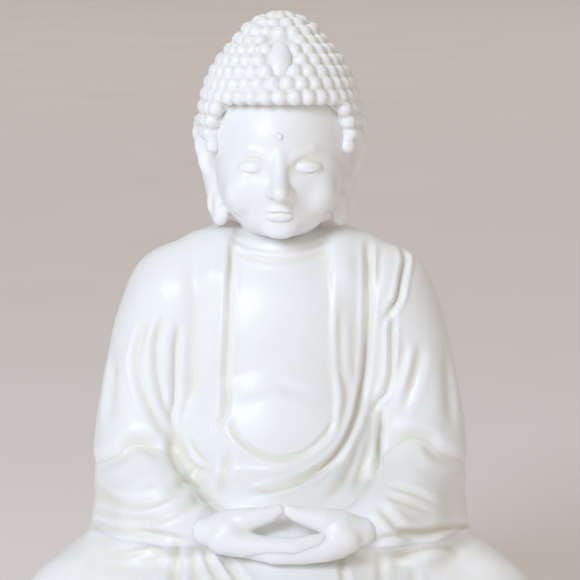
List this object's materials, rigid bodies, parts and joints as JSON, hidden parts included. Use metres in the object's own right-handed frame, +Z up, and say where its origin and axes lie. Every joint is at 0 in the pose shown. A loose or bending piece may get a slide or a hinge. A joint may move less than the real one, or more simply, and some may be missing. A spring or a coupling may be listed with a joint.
{
  "type": "buddha statue",
  "caption": "Small seated figure of a Buddha in ivory-coloured cast resin, legs crossed and hands laid together on the lap, with curled hair, a raised crown and a draped robe.",
  "frame": {"origin": "middle of the felt underside, on the surface that the statue stands on", "axes": "+Z up; the figure faces -Y, and its left hand is at +X"},
  "size_m": [0.0704, 0.047, 0.0906],
  "materials": {
    "ivory_resin": "polished cast resin, slightly see-through at thin edges",
    "brass": "drawn rod, dull",
    "stone_filler": "cast stone powder, matt",
    "greyboard": "pressed board, matt",
    "felt": "felt"
  },
  "bodies": {
    "root": {"felt_pad": "felt", "base_plate": "greyboard", "ballast_block": "stone_filler", "lap": "ivory_resin", "torso": "ivory_resin", "left_sleeve": "ivory_resin", "right_sleeve": "ivory_resin", "left_hand": "ivory_resin", "right_hand": "ivory_resin", "head": "ivory_resin", "hair_cap": "ivory_resin", "hair_jewel": "ivory_resin", "urna_bead": "ivory_resin", "neck_dowel": "brass", "left_lap_pin": "brass", "right_lap_pin": "brass", "left_sleeve_pin": "brass", "right_sleeve_pin": "brass"}
  },
  "joints": []
}
